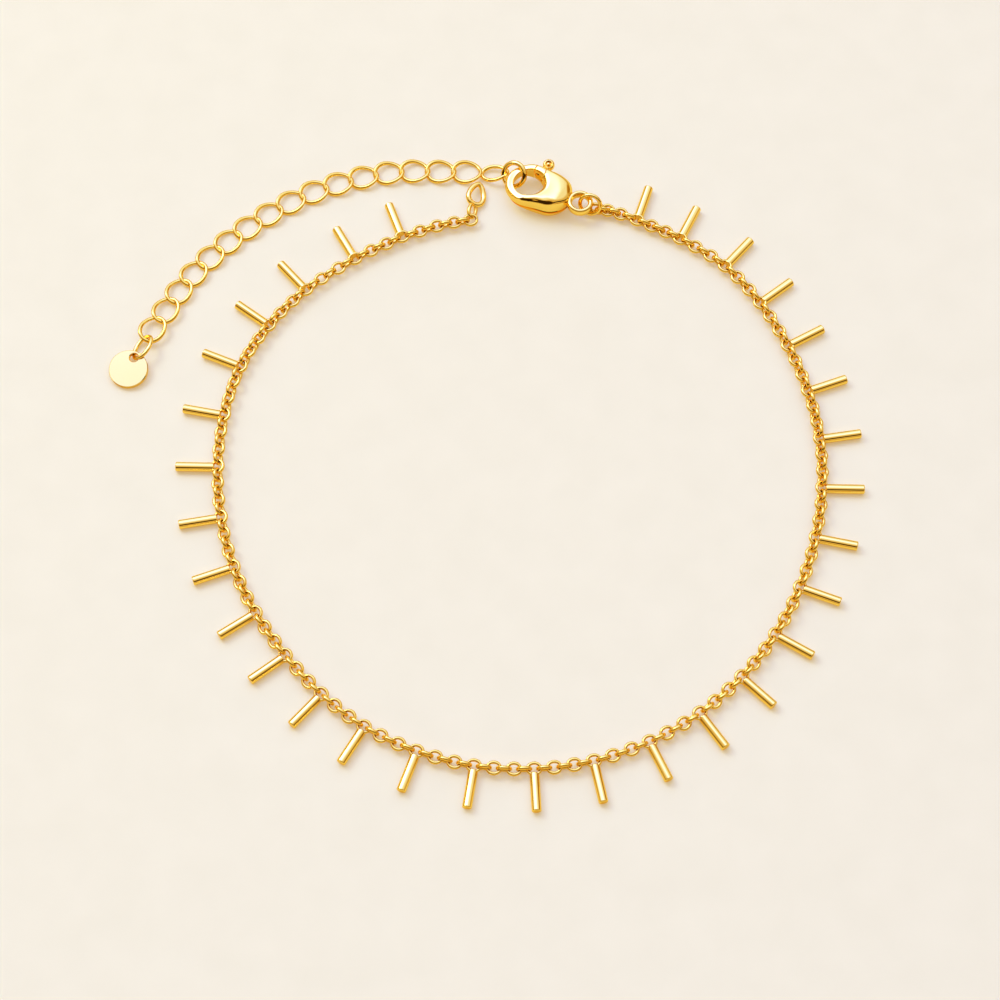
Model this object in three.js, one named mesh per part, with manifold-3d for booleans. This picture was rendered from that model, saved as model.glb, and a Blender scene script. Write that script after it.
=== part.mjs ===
// A fine chain bracelet with a fringe of round bars, a lobster clasp and an extender.
// It lies closed on a flat surface at z = 0. Units are millimetres, +Z is up, and the
// origin is at the middle of the object's footprint.
import * as THREE from 'three';
import { mergeVertices } from 'three/addons/utils/BufferGeometryUtils.js';
import Module from 'manifold-3d';

const wasm = await Module();
wasm.setup();

// ---------------------------------------------------------------- driving sizes
const GAP = 0.15;                 // clearance between two pieces that meet

const CHAIN_DIAMETER = 1.2;       // the belcher chain's body, as a plain tube
const CHAIN_SIDES = 10;
const CHAIN_STEPS = 60;

const BAR_DIAMETER = 0.95;
const BAR_SIDES = 12;
const BAR_EASE = 0.06;            // eased edge at both ends
const BAR_FROM = 0.45;            // inner end, out from the chain's centre line
const BAR_TO = 4.25;              // outer end
const SEAT_RADIUS = 0.7;          // shallow seat for a bar in the side of the tube

const LINK_SIDES = 6;             // sides of a wire
const LINK_SEGMENTS = 12;         // straight pieces round one link
const EXTENDER_LINK = { length: 3.3, width: 2.9, wire: 0.31, twist: 0.29 };
const EXTENDER_END_LINK = { length: 3.3, width: 2.2, wire: 0.33, twist: 0.2 };
const TAG_LINK = { length: 3.1, width: 1.8, wire: 0.31, twist: 0 };
const END_RING = { length: 2.8, width: 2.8, wire: 0.42, twist: 0 };
const CLASP_JUMP_RING = { length: 2.6, width: 2.6, wire: 0.4, twist: 0 };
const CHAIN_JUMP_RING = { length: 2.9, width: 2.1, wire: 0.38, twist: 0 };

const TAG = { diameter: 4, thickness: 0.45, ease: 0.1, hole: 0.95, holeFromCentre: 1.3 };

const CLASP = {
  thickness: 3,                   // at the body
  noseThickness: 1.1,             // at the hook's nose
  noseLength: 2.55,               // from the hollow's centre to the nose
  halfWidth: 2.25,
  tailCentre: 2.4,                // where the rounded tail starts
  tailLength: 2.15,
  hollow: 1.55,                   // radius of the hollow
  bevel: 0.4,
  eyeAt: [5.72, -0.22],
  eyeRadius: 1.07,                // to the middle of the eye's wall
  eyeWall: 0.56,
  eyeHeight: 1.0,
};
const LEVER = {
  pivot: [2.3, 1.2],
  pin: 0.2,                       // radius of the rivet
  pinHole: 0.3,
  boss: 0.55,                     // radius of the tongue round the rivet
  tongue: 0.38,                   // half the tongue's width
  tongueTo: [1.1, 1.35],
  tongueHeight: 0.8,
  slotClearance: 0.2,
  shoulder: 1.45,                 // where the body's shoulder starts
  foot: 0.74,                     // how low the gate's cut reaches
  seamAt: [0.28, 1.86],           // a point on the seam between gate and hook tip
  knobAt: [1.22, 2.8],
  knob: 0.55,
  neckAt: [1.05, 2.05],
  neck: 0.2,
  swing: 13,                      // degrees, inwards
};

// ---------------------------------------------------------------- where things lie
// The chain's line, clockwise from the clasp: x and y of its start, of every second
// bar from the first, and of its last stretch up to the jump ring.
const CHAIN_ROUTE = [
  [12.5, 29.65],
  [15.9, 28.6], [24.9, 23.1], [31.0, 13.8], [33.8, 3.2],
  [32.9, -7.7], [28.5, -18.1], [20.9, -26.3], [10.6, -31.2],
  [-0.9, -31.7], [-11.5, -27.7], [-19.3, -20.3], [-24.7, -10.9],
  [-26.7, 0.1], [-24.8, 11.4], [-18.4, 20.3], [-8.6, 26.6],
  [-5.0, 27.7], [-2.4, 28.4], [-1.35, 30.05],
];
const FIRST_BAR_POINT = 1;
const BARS_PER_POINT = 2;

// Which way each bar points, in degrees anticlockwise from +X.
const BAR_HEADINGS = [
  72, 64, 49, 38, 29, 20, 9, -1, -12, -21, -31,
  -44, -55, -65, -78, -87, -99, -110, -121, -132, -143,
  -146, -160, -170, -181, -191, -203, -217, -229, -241, -250,
];

// The extender's line, from the tag to the clasp: every third big link's centre.
// The first one leans on the tag's link.
const EXTENDER_ROUTE = [
  [-34.0, 15.7, 0.72], [-30.1, 22.4, 0.36], [-24.7, 27.9, 0.36],
  [-17.9, 32.2, 0.36], [-10.1, 34.5, 0.36], [-1.9, 34.6, 0.36],
];
const LINKS_PER_POINT = 3;

const PLACES = {
  clasp: { at: [4.6, 32.4, CLASP.thickness / 2], heading: -18 },
  endRing: { at: [2.94, 33.7, 1.5], heading: -132, lean: 64 },
  extenderEndLink: { at: [1.04, 34.3, 0.62], heading: -5, rise: 15, roll: -8 },
  claspJumpRing: { at: [11.0, 30.12, 1.45], heading: -106, lean: 60 },
  chainJumpRing: { at: [-0.85, 31.75, 0.6], heading: 78, roll: 25, rise: 0 },
  tagLink: { at: [-35.01, 13.57, 0.83], heading: 64, rise: 3, roll: -61 },
  tag: { at: [-36.22, 11.17], heading: 65, tilt: 8 },
};

// ---------------------------------------------------------------- finishes
const gold = (color, roughness) =>
  new THREE.MeshStandardMaterial({ color, roughness, metalness: 1 });
const CHAIN_GOLD = gold(0xe8b64a, 0.2);
const BAR_GOLD = gold(0xf0c05a, 0.12);
const FINDING_GOLD = gold(0xedbb52, 0.15);
const TAG_GOLD = gold(0xf3cb6e, 0.08);

// ---------------------------------------------------------------- helpers
const { degToRad, radToDeg } = THREE.MathUtils;

function toSolid(geometry) {
  const bare = geometry.clone();
  bare.deleteAttribute('normal');
  bare.deleteAttribute('uv');
  const merged = mergeVertices(bare, 1e-5);
  return new wasm.Manifold(new wasm.Mesh({
    numProp: 3,
    vertProperties: new Float32Array(merged.attributes.position.array),
    triVerts: new Uint32Array(merged.index.array),
  }));
}

function toGeometry(solid) {
  const mesh = solid.getMesh();
  const geometry = new THREE.BufferGeometry();
  geometry.setAttribute('position', new THREE.BufferAttribute(mesh.vertProperties, 3));
  geometry.setIndex(new THREE.BufferAttribute(mesh.triVerts, 1));
  geometry.computeVertexNormals();
  return geometry;
}

function addMesh(group, name, geometry, material) {
  const mesh = new THREE.Mesh(geometry, material);
  mesh.name = name;
  group.add(mesh);
  return mesh;
}

// Turns a piece that was made along +X: roll about its own length first, then rise, then heading.
function turned({ heading = 0, rise = 0, roll = 0 }) {
  return new THREE.Euler(degToRad(roll), degToRad(-rise), degToRad(heading), 'ZYX');
}

// A ring made flat leans towards its heading, so its far side stands up.
function leaned({ heading = 0, lean = 0 }) {
  return new THREE.Euler(0, degToRad(lean), degToRad(heading), 'ZYX');
}

function placed(geometry, at, euler) {
  const turn = new THREE.Quaternion().setFromEuler(euler);
  const one = new THREE.Vector3(1, 1, 1);
  return geometry.applyMatrix4(new THREE.Matrix4().compose(new THREE.Vector3(...at), turn, one));
}

// An oval of wire, its length along X. A curb link's two ends are twisted opposite ways.
function linkGeometry({ length, width, wire, twist }) {
  const radius = (length - wire) / 2;
  const geometry = new THREE.TorusGeometry(radius, wire / 2, LINK_SIDES, LINK_SEGMENTS);
  const position = geometry.attributes.position;
  for (let i = 0; i < position.count; i += 1) {
    const x = position.getX(i);
    const y = position.getY(i);
    const round = Math.hypot(x, y);
    const newY = y - (y / round) * (length - width) / 2;
    position.setY(i, newY);
    position.setZ(i, position.getZ(i) - twist * (x / (length / 2)) * newY);
  }
  return geometry;
}

// ---------------------------------------------------------------- chain and bars
function routeCurve(points, height) {
  return new THREE.CatmullRomCurve3(
    points.map(([x, y, z = height]) => new THREE.Vector3(x, y, z)),
  );
}

const chainCurve = routeCurve(CHAIN_ROUTE, CHAIN_DIAMETER / 2);

function barPlace(index) {
  const along = FIRST_BAR_POINT + index / BARS_PER_POINT;
  const { x, y } = chainCurve.getPoint(along / (CHAIN_ROUTE.length - 1));
  return { at: [x, y, BAR_DIAMETER / 2], euler: turned({ heading: BAR_HEADINGS[index] }) };
}

// A round bar along X with eased edges.
function roundBar(from, to, radius, ease) {
  const profile = [
    [0, from], [radius - ease, from], [radius, from + ease],
    [radius, to - ease], [radius - ease, to], [0, to],
  ].map(([r, along]) => new THREE.Vector2(r, along));
  return new THREE.LatheGeometry(profile, BAR_SIDES).rotateZ(-Math.PI / 2);
}

function chainTube() {
  const section = new THREE.Shape();
  for (let i = 0; i < CHAIN_SIDES; i += 1) {
    const turn = (i / CHAIN_SIDES) * 2 * Math.PI;
    const x = (CHAIN_DIAMETER / 2) * Math.cos(turn);
    const y = (CHAIN_DIAMETER / 2) * Math.sin(turn);
    if (i === 0) section.moveTo(x, y);
    else section.lineTo(x, y);
  }
  section.closePath();
  return new THREE.ExtrudeGeometry(section, { steps: CHAIN_STEPS, extrudePath: chainCurve });
}

// The tube has a shallow seat at every bar's inner end, where the bar's own link is.
function chainGeometry() {
  let chain = toSolid(chainTube());
  BAR_HEADINGS.forEach((_, index) => {
    const { at, euler } = barPlace(index);
    const seat = new THREE.CylinderGeometry(SEAT_RADIUS, SEAT_RADIUS, CHAIN_DIAMETER, 8)
      .rotateZ(Math.PI / 2).translate(BAR_FROM - GAP + CHAIN_DIAMETER / 2, 0, 0);
    chain = chain.subtract(toSolid(placed(seat, at, euler)));
  });
  return toGeometry(chain);
}

function addBars(group) {
  BAR_HEADINGS.forEach((_, index) => {
    const name = `bar_${String(index + 1).padStart(2, '0')}`;
    const bar = roundBar(BAR_FROM, BAR_TO, BAR_DIAMETER / 2, BAR_EASE);
    const mesh = addMesh(group, name, bar, BAR_GOLD);
    const { at, euler } = barPlace(index);
    mesh.position.set(...at);
    mesh.setRotationFromEuler(euler);
  });
}

// ---------------------------------------------------------------- extender
function extenderGeometry() {
  const links = (EXTENDER_ROUTE.length - 1) * LINKS_PER_POINT;
  const curve = routeCurve(EXTENDER_ROUTE);
  const { extenderEndLink } = PLACES;
  let chain = toSolid(
    placed(linkGeometry(EXTENDER_END_LINK), extenderEndLink.at, turned(extenderEndLink)),
  );
  for (let i = 0; i <= links; i += 1) {
    const at = curve.getPoint(i / links);
    const along = curve.getTangent(i / links);
    const heading = radToDeg(Math.atan2(along.y, along.x));
    const rise = radToDeg(Math.asin(along.z));
    chain = chain.add(
      toSolid(placed(linkGeometry(EXTENDER_LINK), at.toArray(), turned({ heading, rise }))),
    );
  }
  return toGeometry(chain);
}

// ---------------------------------------------------------------- tag
function tagGeometry() {
  const { diameter, thickness, ease, hole, holeFromCentre } = TAG;
  const radius = diameter / 2;
  const profile = [
    [0, 0], [radius - ease, 0], [radius, ease],
    [radius, thickness - ease], [radius - ease, thickness], [0, thickness],
  ].map(([r, z]) => new THREE.Vector2(r, z));
  const disc = new THREE.LatheGeometry(profile, 36).rotateX(Math.PI / 2);
  const drill = new THREE.CylinderGeometry(hole / 2, hole / 2, 2 * thickness, 16)
    .rotateX(Math.PI / 2).translate(holeFromCentre, 0, thickness / 2);
  return toGeometry(toSolid(disc).subtract(toSolid(drill)));
}

// The tag's edge away from its hole rests on the surface, and the link lifts the other edge.
function tagMatrix() {
  const { at, heading, tilt } = PLACES.tag;
  const lift = (TAG.diameter / 2) * Math.sin(degToRad(tilt));
  const turn = new THREE.Quaternion().setFromEuler(turned({ heading, rise: tilt }));
  return new THREE.Matrix4().compose(
    new THREE.Vector3(at[0], at[1], lift), turn, new THREE.Vector3(1, 1, 1),
  );
}

// ---------------------------------------------------------------- clasp
// Everything below is in the clasp's own frame: X from nose to tail, Y towards the lever,
// Z from the middle of its thickness, and the origin at the hollow's centre.
function claspOutline() {
  const { noseLength, halfWidth, tailCentre, tailLength } = CLASP;
  const outline = new THREE.Shape();
  outline.absellipse(0, 0, noseLength, halfWidth, Math.PI / 2, 1.5 * Math.PI, false, 0);
  outline.absellipse(tailCentre, 0, tailLength, halfWidth, -Math.PI / 2, Math.PI / 2, false, 0);
  return outline;
}

// The hook gets thinner towards its nose.
function claspHeight(x) {
  const { thickness, noseThickness } = CLASP;
  const t = THREE.MathUtils.smoothstep(x, -2.2, 1.7);
  return (noseThickness + (thickness - noseThickness) * t) / thickness;
}

function thinned(geometry) {
  const position = geometry.attributes.position;
  for (let i = 0; i < position.count; i += 1) {
    position.setZ(i, position.getZ(i) * claspHeight(position.getX(i)));
  }
  return geometry;
}

// The hollow as a solid that widens towards both faces, so that its rims come out rounded.
function hollowGeometry() {
  const { thickness, bevel, hollow } = CLASP;
  const rim = [0, 30, 60, 90].map((turn) => new THREE.Vector2(
    hollow + bevel * (1 - Math.sin(degToRad(turn))),
    bevel * (1 - Math.cos(degToRad(turn))) - thickness / 2,
  ));
  const end = thickness / 2 + 0.2;
  const lower = [new THREE.Vector2(0, -end), new THREE.Vector2(hollow + bevel, -end), ...rim];
  const upper = lower.map(({ x, y }) => new THREE.Vector2(x, -y)).reverse();
  return new THREE.LatheGeometry([...lower, ...upper], 30).rotateX(Math.PI / 2);
}

function claspBlank() {
  const { thickness, bevel } = CLASP;
  const blank = new THREE.ExtrudeGeometry(claspOutline(), {
    depth: thickness - 2 * bevel,
    curveSegments: 16,
    bevelEnabled: true,
    bevelThickness: bevel,
    bevelSize: bevel,
    bevelOffset: -bevel,
    bevelSegments: 3,
  }).translate(0, 0, bevel - thickness / 2);
  return toSolid(thinned(blank)).subtract(toSolid(thinned(hollowGeometry())));
}

// A flat plate with this outline, from z = -height / 2 to height / 2.
function plate(shape, height, segments = 12) {
  const geometry = new THREE.ExtrudeGeometry(shape, {
    depth: height, bevelEnabled: false, curveSegments: segments,
  });
  return toSolid(geometry.translate(0, 0, -height / 2));
}

function disc(x, y, radius, height, segments = 12) {
  const shape = new THREE.Shape();
  shape.absarc(x, y, radius, 0, 2 * Math.PI, false);
  return plate(shape, height, segments);
}

// A strip with round ends of two radii.
function strip([x0, y0], r0, [x1, y1], r1, height) {
  const side = Math.atan2(y1 - y0, x1 - x0);
  const shape = new THREE.Shape();
  shape.absarc(x0, y0, r0, side + Math.PI / 2, side + 1.5 * Math.PI, false);
  shape.absarc(x1, y1, r1, side - Math.PI / 2, side + Math.PI / 2, false);
  return plate(shape, height, 8);
}

// The part of the plan where the gate is: left of the shoulder, above its foot and
// inside the seam's arc.
function gateRegion(shoulder, foot, seamRadius) {
  const { pivot } = LEVER;
  const tall = 2 * CLASP.thickness;
  const shape = new THREE.Shape();
  shape.moveTo(-CLASP.noseLength, foot);
  shape.lineTo(shoulder, foot);
  shape.lineTo(shoulder, 2 * CLASP.halfWidth);
  shape.lineTo(-CLASP.noseLength, 2 * CLASP.halfWidth);
  shape.closePath();
  return plate(shape, tall).intersect(disc(...pivot, seamRadius, tall, 48));
}

function seamRadius() {
  const { pivot, seamAt } = LEVER;
  return Math.hypot(pivot[0] - seamAt[0], pivot[1] - seamAt[1]);
}

// The lever's tongue, turned about the rivet by an angle in degrees.
function tongueEnd(angle) {
  const { pivot, tongueTo } = LEVER;
  const end = new THREE.Vector2(...tongueTo);
  end.rotateAround(new THREE.Vector2(...pivot), degToRad(angle));
  return end.toArray();
}

function claspBodySolid() {
  const { eyeAt, eyeRadius, eyeWall, eyeHeight } = CLASP;
  const {
    pivot, pin, boss, tongue, tongueHeight, slotClearance, shoulder, foot, swing,
  } = LEVER;
  const eye = new THREE.TorusGeometry(eyeRadius, eyeWall / 2, 8, 20);
  eye.scale(1, 1, eyeHeight / eyeWall).translate(...eyeAt, 0);
  const eyeHole = disc(...eyeAt, eyeRadius - eyeWall / 2, 2 * CLASP.thickness);
  const slotHeight = tongueHeight + 2 * slotClearance;
  let body = claspBlank().subtract(eyeHole).add(toSolid(eye));
  body = body.subtract(gateRegion(shoulder, foot, seamRadius() + GAP / 2));
  for (const angle of [0, swing / 2, swing]) {
    body = body.subtract(strip(
      pivot, boss + slotClearance, tongueEnd(angle), tongue + slotClearance, slotHeight,
    ));
  }
  return body.add(disc(...pivot, pin, slotHeight + 0.2, 6));
}

function claspLeverSolid() {
  const {
    pivot, pinHole, boss, tongue, tongueHeight, tongueTo, shoulder, foot,
    knobAt, knob, neckAt, neck,
  } = LEVER;
  const gate = claspBlank().intersect(
    gateRegion(shoulder - GAP, foot + 1.5 * GAP, seamRadius() - GAP / 2),
  );
  const arm = strip(pivot, boss, tongueTo, tongue, tongueHeight)
    .subtract(disc(...pivot, pinHole, 2 * tongueHeight, 6));
  const ball = new THREE.SphereGeometry(knob, 16, 12).rotateX(Math.PI / 2)
    .translate(...knobAt, 0);
  const stem = new THREE.CylinderGeometry(neck, neck, 1, 10)
    .translate(...neckAt, 0);
  return gate.add(arm).add(toSolid(ball)).add(toSolid(stem));
}

function addClasp(group) {
  const clasp = new THREE.Group();
  const { at, heading } = PLACES.clasp;
  clasp.position.set(...at);
  clasp.rotation.z = degToRad(heading);
  addMesh(clasp, 'clasp_body', toGeometry(claspBodySolid()), FINDING_GOLD);
  addMesh(clasp, 'clasp_lever', toGeometry(claspLeverSolid()), FINDING_GOLD);
  group.add(clasp);
}

// ---------------------------------------------------------------- rings
function addRing(group, name, size, { at }, euler) {
  const mesh = addMesh(group, name, linkGeometry(size), FINDING_GOLD);
  mesh.position.set(...at);
  mesh.setRotationFromEuler(euler);
}

// ---------------------------------------------------------------- the bracelet
const bracelet = new THREE.Group();
addMesh(bracelet, 'chain', chainGeometry(), CHAIN_GOLD);
addBars(bracelet);
addMesh(bracelet, 'extender_chain', extenderGeometry(), CHAIN_GOLD);
addClasp(bracelet);
addRing(bracelet, 'end_ring', END_RING, PLACES.endRing, leaned(PLACES.endRing));
addRing(
  bracelet, 'clasp_jump_ring', CLASP_JUMP_RING, PLACES.claspJumpRing, leaned(PLACES.claspJumpRing),
);
addRing(
  bracelet, 'chain_jump_ring', CHAIN_JUMP_RING, PLACES.chainJumpRing, turned(PLACES.chainJumpRing),
);
addRing(bracelet, 'tag_link', TAG_LINK, PLACES.tagLink, turned(PLACES.tagLink));
addMesh(bracelet, 'tag_disc', tagGeometry(), TAG_GOLD).applyMatrix4(tagMatrix());

export default bracelet;
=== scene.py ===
# %% [markdown]
# # A fringe bracelet, closed and lying on a table
# The frame holds plain solids: a tube for the fine chain, a bar for each drop, and the
# findings. This lesson dresses them. The tube becomes a real belcher chain of about 190
# links, the bars get eased ends, and the lobster clasp becomes a domed casting with a
# parting line and a cupped thumb knob. Everything is modelled in millimetres round its
# own middle, because these pieces are tiny, and is turned into metres when it is put in
# its place.

# %% Load the frame
import math

import bpy
from mathutils import Matrix, Vector


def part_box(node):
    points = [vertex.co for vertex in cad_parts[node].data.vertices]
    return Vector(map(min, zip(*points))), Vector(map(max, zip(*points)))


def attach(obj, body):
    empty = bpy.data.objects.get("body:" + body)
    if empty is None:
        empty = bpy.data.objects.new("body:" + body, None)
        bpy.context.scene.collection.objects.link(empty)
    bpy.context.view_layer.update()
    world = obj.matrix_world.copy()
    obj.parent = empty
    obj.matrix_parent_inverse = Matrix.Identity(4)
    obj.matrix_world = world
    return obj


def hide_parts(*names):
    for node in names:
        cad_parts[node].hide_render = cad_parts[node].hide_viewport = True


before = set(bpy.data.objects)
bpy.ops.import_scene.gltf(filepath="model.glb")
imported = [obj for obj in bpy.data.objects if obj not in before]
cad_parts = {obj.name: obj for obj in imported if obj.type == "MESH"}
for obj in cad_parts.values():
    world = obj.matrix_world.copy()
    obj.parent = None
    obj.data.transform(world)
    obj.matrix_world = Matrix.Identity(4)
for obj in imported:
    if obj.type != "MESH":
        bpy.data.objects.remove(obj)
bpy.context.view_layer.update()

MM = 0.001
BRACELET, LEVER = "bracelet", "lever"

# %% [markdown]
# ## Camera
# The bracelet is seen from above, a little from the near side, through a long lens so
# that the loop keeps its shape. The camera looks at a point of the table that is just off
# the loop's middle.

# %% Camera
LOOK_AT = Vector((1.6, -3.3, 0)) * MM
ELEVATION = math.radians(65)
DISTANCE = 0.3
HALF_WIDTH = 0.05

bpy.ops.object.select_all(action="DESELECT")
bpy.ops.object.camera_add(
    location=LOOK_AT + DISTANCE * Vector((0, -math.cos(ELEVATION), math.sin(ELEVATION))),
    rotation=(math.pi / 2 - ELEVATION, 0, 0),
)
camera = bpy.context.object
camera.name = "camera"
camera.data.angle = 2 * math.atan(HALF_WIDTH / DISTANCE)
camera.data.clip_start = 0.01
bpy.context.scene.camera = camera
print("camera at", [round(value, 4) for value in camera.location])


# %% [markdown]
# ## Small helpers
# Each finished piece keeps its object at the origin and its place in its mesh. So a
# pattern is modelled once, copied with its own mesh, and the copy's mesh is moved.

# %% Helpers
def start():
    """Leaves nothing selected, so that the next operator acts on the new piece alone."""
    bpy.ops.object.select_all(action="DESELECT")


def named(name):
    """Names the piece that an operator has just added."""
    piece = bpy.context.object
    piece.name = piece.data.name = name
    return piece


def select_only(piece):
    start()
    piece.select_set(True)
    bpy.context.view_layer.objects.active = piece


def smooth_share(value, low, high):
    """How far the value is from low to high, eased at both ends, from 0 to 1."""
    share = min(1, max(0, (value - low) / (high - low)))
    return share * share * (3 - 2 * share)


def rounded(value, power):
    """Turns a circle's sine or cosine into that of a softer or a squarer curve."""
    return math.copysign(abs(value) ** (2 / power), value)


def reshape(piece, rule):
    """Moves every vertex to where the rule says."""
    for vertex in piece.data.vertices:
        vertex.co = rule(*vertex.co)


def placement(at, heading=0, rise=0, roll=0, lean=0):
    """A place in millimetres: roll about the length, then rise or lean, then heading."""
    turn = (
        Matrix.Rotation(math.radians(heading), 4, "Z")
        @ Matrix.Rotation(math.radians(lean - rise), 4, "Y")
        @ Matrix.Rotation(math.radians(roll), 4, "X")
    )
    return Matrix.Translation(at) @ turn


def put(piece, place):
    """Bakes a place in millimetres into the mesh, in metres."""
    piece.data.transform(Matrix.Scale(MM, 4) @ place)
    piece.data.update()


def copy_of(pattern, name):
    piece = pattern.copy()
    piece.data = pattern.data.copy()
    piece.name = piece.data.name = name
    bpy.context.collection.objects.link(piece)
    return piece


def discard(piece):
    bpy.data.objects.remove(piece)


def smooth(piece, angle):
    """Shades smoothly across every edge that turns by less than the angle in degrees."""
    select_only(piece)
    bpy.ops.object.shade_smooth_by_angle(angle=math.radians(angle))


def apply_modifier(piece, kind, **settings):
    select_only(piece)
    modifier = piece.modifiers.new(kind.title(), kind)
    for key, value in settings.items():
        setattr(modifier, key, value)
    bpy.ops.object.modifier_apply(modifier=modifier.name)


def boolean(piece, cutter, operation):
    """Cuts, joins or intersects two closed pieces, and says how many faces that gives."""
    apply_modifier(piece, "BOOLEAN", object=cutter, operation=operation, solver="MANIFOLD")
    print("cut", piece.name, len(piece.data.polygons))


def join(pieces, name):
    select_only(pieces[0])
    for piece in pieces[1:]:
        piece.select_set(True)
    bpy.ops.object.join()
    return named(name)


def finish_piece(piece, body, slot, material, *nodes):
    """Gives a finished piece its body, its finish and the solids it stands for. The slot is not
    used.
    """
    piece.data.materials.clear()
    piece.data.materials.append(material)
    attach(piece, body)
    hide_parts(*nodes)
    faces = len(piece.data.polygons)
    print(f"{piece.name}: {faces} faces on {body}")


# %% [markdown]
# ## Polished gold plate
# Plating is one thin layer of gold, so what makes it look rich is what it mirrors. A
# tumbled and plated surface is never quite flat: it has a very shallow unevenness and
# faint polishing haze. Both are made once, as a node group, and each finish sets its own
# strength. The links are a little deeper in colour than the drops and the cast parts, and
# the flat tag is the palest. Where the links of the fine chain cross, shade is painted
# into their gold as a brown.

# %% The haze and unevenness of plated metal
RELIEF_HEIGHT = 0.00002


def plated_surface():
    group = bpy.data.node_groups.new("plated surface", "ShaderNodeTree")
    sockets = group.interface
    for name, default in (("Scale", 600.0), ("Haze", 0.1), ("Polish", 0.12), ("Relief", 0.1)):
        socket = sockets.new_socket(name, in_out="INPUT", socket_type="NodeSocketFloat")
        socket.default_value = default
    sockets.new_socket("Roughness", in_out="OUTPUT", socket_type="NodeSocketFloat")
    sockets.new_socket("Normal", in_out="OUTPUT", socket_type="NodeSocketVector")
    nodes, links = group.nodes, group.links
    inward, outward = nodes.new("NodeGroupInput"), nodes.new("NodeGroupOutput")
    place = nodes.new("ShaderNodeTexCoord")
    noise = nodes.new("ShaderNodeTexNoise")
    noise.inputs["Detail"].default_value = 3.0
    links.new(place.outputs["Object"], noise.inputs["Vector"])
    links.new(inward.outputs["Scale"], noise.inputs["Scale"])
    haze = nodes.new("ShaderNodeMath")
    haze.operation = "MULTIPLY_ADD"
    links.new(noise.outputs["Fac"], haze.inputs[0])
    links.new(inward.outputs["Haze"], haze.inputs[1])
    links.new(inward.outputs["Polish"], haze.inputs[2])
    links.new(haze.outputs[0], outward.inputs["Roughness"])
    bump = nodes.new("ShaderNodeBump")
    bump.inputs["Distance"].default_value = RELIEF_HEIGHT
    links.new(inward.outputs["Relief"], bump.inputs["Strength"])
    links.new(noise.outputs["Fac"], bump.inputs["Height"])
    links.new(bump.outputs["Normal"], outward.inputs["Normal"])
    return group


PLATED = plated_surface()
EDGE_TINT = (1, 0.85, 0.55, 1)


def gold(name, colour, scale, polish, haze, relief):
    material = bpy.data.materials.new(name)
    material.use_nodes = True
    nodes, links = material.node_tree.nodes, material.node_tree.links
    shader = nodes["Principled BSDF"]
    shader.inputs["Base Color"].default_value = (*colour, 1)
    shader.inputs["Metallic"].default_value = 1
    shader.inputs["Specular Tint"].default_value = EDGE_TINT
    surface = nodes.new("ShaderNodeGroup")
    surface.node_tree = PLATED
    for key, value in (("Scale", scale), ("Haze", haze), ("Polish", polish), ("Relief", relief)):
        surface.inputs[key].default_value = value
    links.new(surface.outputs["Roughness"], shader.inputs["Roughness"])
    links.new(surface.outputs["Normal"], shader.inputs["Normal"])
    return material


def paint_crossing_shade(material, own_colour, shade_colour):
    """Paints shade where the links cross: mixes the darker colour in by the mesh's own value for
    it at each point.
    """
    nodes, links = material.node_tree.nodes, material.node_tree.links
    crossing_shade = nodes.new("ShaderNodeAttribute")
    crossing_shade.attribute_name = "crossing_shade"
    mix = nodes.new("ShaderNodeMix")
    mix.data_type = "RGBA"
    mix.inputs["A"].default_value = (*own_colour, 1)
    mix.inputs["B"].default_value = (*shade_colour, 1)
    links.new(crossing_shade.outputs["Fac"], mix.inputs["Factor"])
    links.new(mix.outputs["Result"], nodes["Principled BSDF"].inputs["Base Color"])


GOLD = (1.0, 0.68, 0.11)
WIRE_GOLD = (1.0, 0.64, 0.08)
TAG_GOLD = (1.0, 0.69, 0.14)
# The brown that is painted in as shade where the chain's links cross.
CROSSING_SHADE_COLOUR = (0.3, 0.09, 0.002)
chain_gold = gold("chain gold", WIRE_GOLD, scale=900, polish=0.05, haze=0.06, relief=0.05)
# Paints shade into the chain's gold where its links cross.
paint_crossing_shade(chain_gold, WIRE_GOLD, CROSSING_SHADE_COLOUR)
bar_gold = gold("bar gold", GOLD, scale=700, polish=0.03, haze=0.04, relief=0.03)
finding_gold = gold("cast gold", GOLD, scale=500, polish=0.03, haze=0.05, relief=0.05)
tag_gold = gold("tag gold", TAG_GOLD, scale=400, polish=0.04, haze=0.05, relief=0.03)
print("finishes", [m.name for m in (chain_gold, bar_gold, finding_gold, tag_gold)])


# %% [markdown]
# ## One link of wire
# A link is a ring of wire. A torus is a good start. Its sides are then moved together, so
# that the ring becomes an oval. The other numbers are shares of that plain form:
# - twist leans the two ends opposite ways, so that a row of curb links lies flat,
# - point draws the ends out, and taper makes one end narrower than the other,
# - band makes the wire taller than it is wide, and swell makes it thicker at the sides,
# - square above 2 makes the wire's section squarer,
# - the last one marks the inside of both ends, where the next link crosses and shade falls, for
#   the finish to paint that shade in.

# %% A link of wire
WIRE_SMOOTHING = 80


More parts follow.
